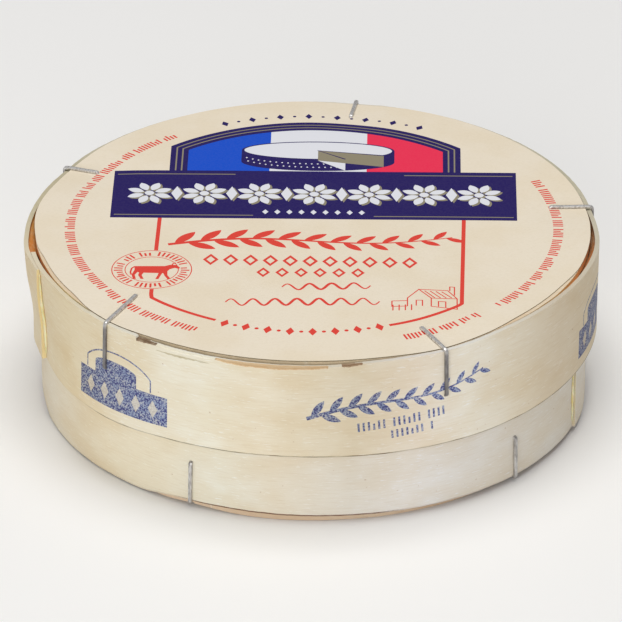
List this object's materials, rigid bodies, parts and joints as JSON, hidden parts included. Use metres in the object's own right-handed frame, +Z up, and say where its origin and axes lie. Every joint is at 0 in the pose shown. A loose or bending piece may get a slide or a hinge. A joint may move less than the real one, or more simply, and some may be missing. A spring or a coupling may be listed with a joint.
{
  "type": "boxed camembert",
  "caption": "Shut round veneer box of camembert: a lid hoop and a base hoop of thin wood, stapled top and bottom discs, and a paper label.",
  "frame": {"origin": "centre of the underside, on the surface it stands on", "axes": "+Z up through the round box, front towards -Y, +X to the right seen from the front"},
  "size_m": [0.1141, 0.1125, 0.0368],
  "materials": {
    "lid_veneer": "bare peeled veneer, fine grain round the hoop",
    "base_veneer": "bare peeled veneer, fine grain round the hoop",
    "disc_veneer": "bare peeled veneer, cut edge",
    "label_paper": "matt paper with plain fields of printed colour",
    "glue": "dried yellow glue",
    "staple_wire": "dull galvanised wire"
  },
  "bodies": {
    "root": {"base_body": "base_veneer", "bottom_disc": "disc_veneer", "lid_hoop": "lid_veneer", "lid_disc": "disc_veneer", "label": "label_paper", "lid_glue": "glue", "base_glue": "glue", "lid_staple_1": "staple_wire", "lid_staple_2": "staple_wire", "lid_staple_3": "staple_wire", "lid_staple_4": "staple_wire", "lid_staple_5": "staple_wire", "base_staple_1": "staple_wire", "base_staple_2": "staple_wire", "base_staple_3": "staple_wire", "base_staple_4": "staple_wire", "base_staple_5": "staple_wire"}
  },
  "joints": []
}
